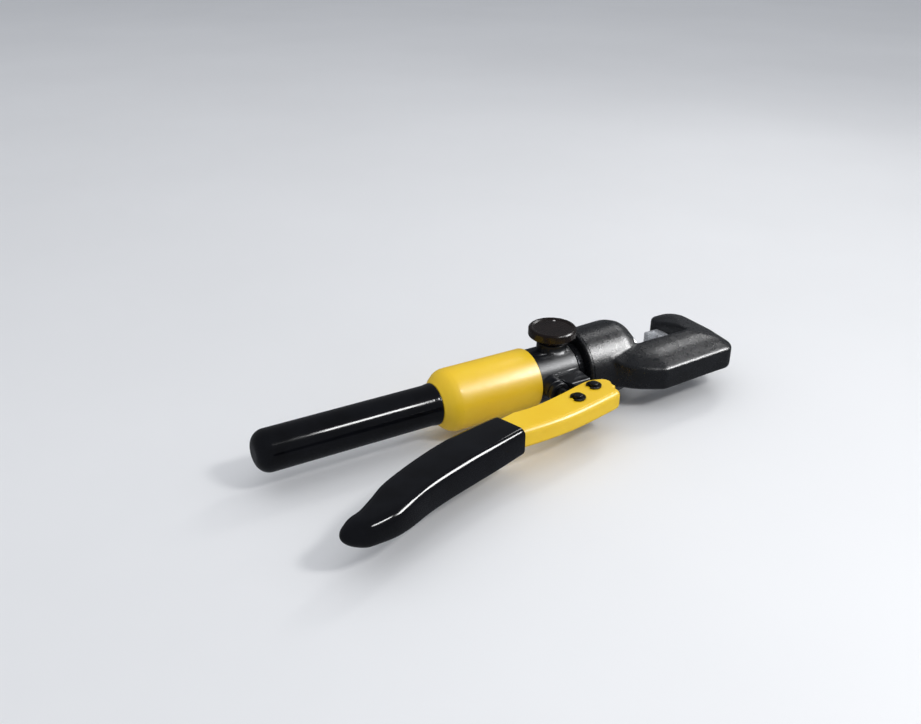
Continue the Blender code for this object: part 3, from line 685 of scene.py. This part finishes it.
def build_pump_body():
    barrel = [(44, 0), (44, SPIGOT_R, 1), (42, SPIGOT_R), (42, 14), (40, 14), (40, SPIGOT_R),
              (BODY_FRONT, SPIGOT_R), (BODY_FRONT, BODY_R, 0.9), (0.3, BODY_R, 0.4), (0.3, 17.2),
              (-6, 17.2), (-6, 15.4), (-9, 15.4),
              (-9, 17.2), (-22, 17.2, 0.5), (-22, 11), (-30, 11, 0.5), (-30, 0)]
    body = turned("pump_body_turned", barrel, steps=180)
    x, y = FULCRUM
    root = prism("lug_root", [(x - 14.5, -12), (x - 8.4, -29), (x + 6.6, -29), (x + 7.5, -12)], -5.5, 5.5)
    edged(root, 0.9, 4)
    eye = prism("lug_eye", [(x - 11, -10.5)] + arc(x, y, LUG_R, 200, 370, 28) + [(x + 6.5, -10.5)],
                -LUG_HALF, LUG_HALF)
    edged(eye, 0.7, 3, 50)
    boss = [(22.5, 0), (22.5, BOSS_R, 0.8), (8, BOSS_R), (8, 0)]
    plunger_boss = [(-9, 0), (-9, 7.9), (-17, 7.9, 2.5), (-19.5, 7.0, 2.5), (-24, 7.0, 0.7), (-24, 0)]
    join(body, turned("release_boss", boss, "Z", (KNOB_X, 0, 0), 120),
         turned("plunger_boss", plunger_boss, "Y", (PLUNGER_X, 0, 0), 96), root, eye)
    bore = [(3.2, 0), (3.2, PLUNGER_R + GAP), (-14, PLUNGER_R + GAP), (-14, 5.6), (-30, 5.6), (-30, 0)]
    gland = [(30, 0), (30, 6.8), (14, 6.8), (14, 4.3), (4.5, 4.3), (4.5, 0)]
    relief = [(0.3, 0), (0.3, 1.3), (-6, 1.3), (-6, 3.6), (-30, 3.6), (-30, 0)]
    cut(body, rod("fulcrum_hole", -20, 20, PIN_R + GAP, "Z", (*FULCRUM, 0)),
        turned("plunger_bore", bore, "Y", (PLUNGER_X, 0, 0), 64),
        turned("release_bore", gland, "Z", (KNOB_X, 0, 0), 64),
        turned("relief_bore", relief, "Z", (26, 0, 0), 48),
        rod("nut_clearance", -40, -24.1, 7.4, "Y", (PLUNGER_X, 0, 0)))
    finish(level(body, 30), "pump_body", angle=30)


def build_plunger():
    at = (PLUNGER_X, 0, 0)
    nut = [(-18.3, PLUNGER_R + GAP), (-18.3, 5.3, 0.2), (-24.3, 5.3), (-24.3, 6.9, 0.4), (-28, 6.9, 0.6),
           (-28, PLUNGER_R + GAP, 0.3)]
    finish(turned("plunger_gland_nut_turned", nut, "Y", at, 96, closed=True), "plunger_gland_nut")
    low_y = PLUNGER_PIN[1]
    plunger = rod("pump_plunger_ground", low_y + 4, -5, PLUNGER_R, "Y", at, 96, 0.4)
    half = 2.9
    flat = arc(PLUNGER_X + half, low_y, 6.2, -90, 90, 24) + arc(PLUNGER_X - half, low_y, 6.2, 90, 270, 24)
    slot = arc(PLUNGER_X + half, low_y, 4.1, -90, 90, 24) + arc(PLUNGER_X - half, low_y, 4.1, 90, 270, 24)
    eye = cut(prism("eye", flat, -LUG_HALF, LUG_HALF), prism("slot", slot, -10, 10))
    edged(eye, 0.5, 3, 50)
    join(plunger, eye)
    level(plunger, 38)
    finish(plunger, "pump_plunger", look=DARK_PINS)


def build_pins():
    groove = CHANNEL_HALF + GAP
    tip = groove + 2.4
    for name, (x, y) in (("fulcrum_pin", FULCRUM), ("plunger_pin", PLUNGER_PIN)):
        half = [(tip, 0), (tip, PIN_R, 0.6), (groove + 1.3, PIN_R, 0.1), (groove + 1.3, PIN_R - 0.7),
                (groove - 0.3, PIN_R - 0.7), (groove - 0.3, PIN_R)]
        lower = [(-p[0], *p[1:]) for p in reversed(half)]
        finish(turned(name + "_turned", half + lower, "Z", (x, y, 0), 72), name, look=DARK_PINS)
        for side, low in (("top", groove), ("bottom", -groove - 1.0)):
            node = f"{name}_clip_{side}"
            outer = arc(x, y, 4.9, 180 - 22, -180 + 22, 48)
            inner = arc(x, y, PIN_R - 0.4, -180 + 38, 180 - 38, 40)
            clip = prism(node + "_bent", outer + inner, low, low + 1.0)
            edged(clip, 0.18, 2, 50)
            finish(clip, node, look=DARK_PINS)


# ---------------------------------------------------------------- lever

def grip_form(x):
    """Centre line, half width and half thickness of the lever's grip at a place along the tool."""
    last = len(GRIP_STATIONS) - 1
    i = 0
    while i < last - 1 and x < GRIP_STATIONS[i + 1][0]:
        i += 1
    ends = [GRIP_STATIONS[min(max(k, 0), last)] for k in (i - 1, i, i + 1, i + 2)]
    span = ends[2][0] - ends[1][0]
    t = (x - ends[1][0]) / span
    form = []
    for k in (1, 2, 3):
        enter = (ends[2][k] - ends[0][k]) / (ends[2][0] - ends[0][0]) * span
        leave = (ends[3][k] - ends[1][k]) / (ends[3][0] - ends[1][0]) * span
        value = (2 * t**3 - 3 * t**2 + 1) * ends[1][k] + (t**3 - 2 * t**2 + t) * enter
        value += (3 * t**2 - 2 * t**3) * ends[2][k] + (t**3 - t**2) * leave
        form.append(value)
    return form


def grip_section(x, inset=0.0, corners=9):
    """A rounded rectangle across the lever, which narrows behind the palm to a blunt nose."""
    along = min(max((GRIP_END + 12 - x) / 12, 0.0), 0.9995)
    tip = sqrt(1 - along * along)
    centre, half_wide, half_high = grip_form(x)
    half_wide = (half_wide - inset) * tip
    half_high = (half_high - inset) * tip
    neck = min(max((-138 - x) / 20, 0.0), 1.0)
    radius = min(4.2 * (1 + 0.45 * neck), half_wide * 0.98, half_high * 0.98)
    points = []
    for corner in range(4):
        sign_y = 1 if corner in (0, 3) else -1
        sign_z = 1 if corner in (0, 1) else -1
        for i in range(corners):
            angle = (corner + i / (corners - 1)) * pi / 2
            y = sign_y * (half_wide - radius) + radius * cos(angle)
            z = sign_z * (half_high - radius) + radius * sin(angle)
            points.append((x - 0.3 * y, centre + y, z))
    return points


def build_lever_grip():
    lip = [grip_section(GRIP_START - 0.9 * (1 - cos(a)), 0.9 * (1 - sin(a)))
           for a in (i * pi / 12 for i in range(7))]
    lip = [grip_section(GRIP_START, 2.4)] + lip
    run = [grip_section(GRIP_START - 0.9 - i * (GRIP_START - 0.9 - GRIP_END - 12) / 60) for i in range(1, 61)]
    nose = [grip_section(GRIP_END + 12 - 11.99 * sin(i * pi / 2 / 22)) for i in range(1, 23)]
    grip = loft("moving_handle_grip_dipped", lip + run + nose)
    finish(grip, "moving_handle_grip", angle=60)


def lever_outline(rear):
    stations = [rear + (GRIP_START - rear) * i / 8 for i in range(9)]
    near = [(x, grip_form(x)[0] - 9.3) for x in stations]
    near += [tuple(p) for p in flowing([near[-1], (-22, -63.6), (0, -61.2), (29, -55.2)], 8)[1:]]
    front = [tuple(p) for p in rounded([near[-1], (35.1, -53.6, 4.2), (35.7, -46.5), (35.3, -43.4)])[1:]]
    front += arc(31.4, -39.4, 5.2, -25, 75, 14)
    far = [tuple(p) for p in flowing([(28, -32.9), (21.8, -32.8), (0, -38.2), (-22, -42.5), (-38, -42.8)], 6)]
    far += [(x, grip_form(x)[0] + 9.3) for x in reversed(stations)]
    return near, front, far


def bend_cutter(path, radius, side):
    """What a bend of that radius removes along the channel's upper (side 1) or lower (side -1) crease."""
    shape = [(-1.5, CHANNEL_HALF - radius - 0.001)]
    shape += [(radius - radius * cos(a), CHANNEL_HALF - radius + radius * sin(a))
              for a in (i * pi / 2 / 14 for i in range(15))]
    shape += [(radius, CHANNEL_HALF + 1.5), (-1.5, CHANNEL_HALF + 1.5)]
    sections = []
    for i, p in enumerate(path):
        ahead = (path[min(i + 1, len(path) - 1)] - path[max(i - 1, 0)]).normalized()
        inward = Vector((-ahead.y, ahead.x))
        sections.append([(p.x + inward.x * s, p.y + inward.y * s, side * z) for s, z in shape])
    return loft("bend", sections)


def build_lever():
    """A pressed channel: a bent web along the near side between two flat cheeks."""
    near, front, far = lever_outline(-72.0)
    lever = prism("moving_handle_pressed", near + front + far, -CHANNEL_HALF, CHANNEL_HALF)
    path = [Vector(near[0]) - Vector((3, -1))] + [Vector(p) for p in near + front[:LEVER_CORNER]]
    cut(lever, bend_cutter(path, 3.4, 1), bend_cutter(path, 3.4, -1))
    soften(lever, 0.4, 4)
    wall = [(x, y + SHEET) for x, y in near]
    hollow = [(-145, wall[0][1])] + wall + [(50, wall[-1][1] + 5), (50, 0), (-145, 0)]
    inside = prism("hollow", hollow, -CHANNEL_HALF + SHEET, CHANNEL_HALF - SHEET)
    pins = (FULCRUM, PLUNGER_PIN)
    holes = [rod("hole", -20, 20, PIN_R + GAP, "Z", (x, y, 0)) for x, y in pins]
    cut(lever, inside, *holes)
    finish(lever, "moving_handle", angle=32)


# ---------------------------------------------------------------- knob, sleeve and fixed grip

def build_knob():
    at = (KNOB_X, 0, 0)
    skirt = [(KNOB_TOP - 0.75, 0), (KNOB_TOP - 0.75, KNOB_R - 3.6, 1.5), (KNOB_TOP, KNOB_R - 1.9, 1.2),
             (KNOB_TOP - 0.05, KNOB_R - 0.9, 0.6), (KNOB_TOP - 1.0, KNOB_R, 0.7),
             (KNOB_TOP - 5.4, KNOB_R, 0.8),
             (KNOB_TOP - 6.3, KNOB_R - 1, 0.8), (23.6, 10.4, 0.8), (22.8, 9.6, 0.4), (22.8, 4.3), (27.5, 4.3),
             (27.5, 0)]
    knob = turned("release_knob_turned", skirt, "Z", at, 180)
    dimple = [(KNOB_TOP - 1.9, 0), (KNOB_TOP + 1, 2.6), (KNOB_TOP + 1, 0)]
    cut(knob, turned("dimple", dimple, "Z", (KNOB_DIMPLE[0], KNOB_DIMPLE[1], 0), 48))
    finish(knob, "release_knob")


def build_sleeve():
    shoulder = flowing([(-50, SLEEVE_R), (-57, SLEEVE_R), (-59.5, 19.6), (-62, 18.6), (-64.8, 16.5),
                        (-67, 14.2), (SLEEVE_REAR, 13.2)], 5)
    profile = [(0, SLEEVE_INNER, 0.4), (0, SLEEVE_R, 0.9)] + [tuple(p) for p in shoulder]
    profile += [(SLEEVE_REAR, TUBE_R + GAP), (-61, TUBE_R + GAP), (-58, SLEEVE_INNER)]
    finish(turned("reservoir_sleeve_turned", profile, steps=180, closed=True), "reservoir_sleeve", angle=50)


def build_fixed_grip():
    inner = TUBE_R + GAP
    corner = 8.5
    front = SLEEVE_REAR - GAP
    profile = [(TUBE_REAR - GAP, 0), (TUBE_REAR - GAP, inner), (front, inner), (front, 13.3, 0.6),
               (front - 2.2, 13.2, 2), (front - 5, GRIP_R, 6)]
    profile += arc(GRIP_REAR + corner, GRIP_R - corner, corner, 90, 180, 20)
    profile += [(GRIP_REAR, 0)]
    finish(turned("fixed_handle_grip_dipped", profile, steps=144), "fixed_handle_grip", angle=60)


# ---------------------------------------------------------------- studio

def area(name, at, toward, along, size, size_y, power):
    """A softbox whose first side runs along a direction."""
    data = bpy.data.lights.new(name, "AREA")
    data.shape = "RECTANGLE"
    data.size = size
    data.size_y = size_y
    data.energy = power
    lamp = bpy.data.objects.new(name, data)
    bpy.context.scene.collection.objects.link(lamp)
    back = (Vector(at) - Vector(toward)).normalized()
    side = Vector(along)
    side = (side - back * side.dot(back)).normalized()
    turn = Matrix((side, back.cross(side), back)).transposed().to_4x4()
    lamp.matrix_world = Matrix.Translation(ORIGIN + Vector(at)) @ turn
    return lamp


def build_studio():
    bpy.ops.mesh.primitive_plane_add(size=24, location=(0, 0, CAD_LOW.z))
    floor = bpy.context.object
    floor.name = "studio_floor"
    floor.data.materials.append(pale_floor())
    floor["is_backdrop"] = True
    scene = bpy.context.scene
    scene.world = scene.world or bpy.data.worlds.new("studio")
    scene.world.use_nodes = True
    backdrop = scene.world.node_tree.nodes["Background"]
    backdrop.inputs["Color"].default_value = (0.88, 0.92, 1.0, 1)
    # the surroundings are dimmer in reflections, which keeps the gloss black parts black
    rays = scene.world.node_tree.nodes.new("ShaderNodeLightPath")
    glow = scene.world.node_tree.nodes.new("ShaderNodeMath")
    glow.operation = "MULTIPLY_ADD"
    glow.inputs[1].default_value = WORLD_GLOW_IN_GLOSS - WORLD_GLOW
    glow.inputs[2].default_value = WORLD_GLOW
    scene.world.node_tree.links.new(rays.outputs["Is Glossy Ray"], glow.inputs[0])
    scene.world.node_tree.links.new(glow.outputs["Value"], backdrop.inputs["Strength"])
    area("strip", (0.24, -0.62, 0.72), (-0.13, 0, 0), (1, 0, 0), 0.2, 0.13, 3.0)
    side_box = area("side_box", (0.80, -0.54, 0.70), (0, -0.05, 0), (0, 1, 0), 0.64, 0.3, 20.0)
    area("head_box", (0.74, 0.345, 0.68), (0.1, -0.03, 0), (0, 1, 0), 0.14, 0.3, 1.2)
    ceiling = area("ceiling", (0, 0.2, 1.9), (0, 0, 0), (1, 0, 0), 3.6, 3.2, 17.0)
    # the ceiling and floor light the tool and aren't mirrored in it; the side box is only mirrored
    for matte in (ceiling, floor):
        matte.visible_glossy = False
    side_box.visible_diffuse = False
    scene.view_settings.view_transform = "Standard"


def dress_nodes():
    """Gives every CAD node its finish, also those that a finer piece stands for."""
    for node, obj in NODES.items():
        dark = node in ("release_gland", "head_lock_ring")
        obj.data.materials.clear()
        obj.data.materials.append(DARK_PINS if dark else FINISH[SLOT_OF[node]])


def build_camera():
    data = bpy.data.cameras.new("camera")
    data.lens = 37.92
    data.sensor_width = 36.0
    data.clip_start = 0.01
    camera = bpy.data.objects.new("camera", data)
    bpy.context.scene.collection.objects.link(camera)
    right = Vector((0.85806, -0.51347, 0.00911))
    up = Vector((0.22253, 0.38773, 0.89451))
    back = right.cross(up)
    turn = Matrix((right, up, back)).transposed().to_4x4()
    camera.matrix_world = Matrix.Translation(ORIGIN + Vector((-324.3, -454.7, 289.5)) * MM) @ turn
    bpy.context.scene.camera = camera


dress_nodes()
build_head()
build_ram()
build_pump_body()
build_plunger()
build_pins()
build_lever()
build_lever_grip()
build_knob()
build_sleeve()
build_fixed_grip()
build_studio()
build_camera()
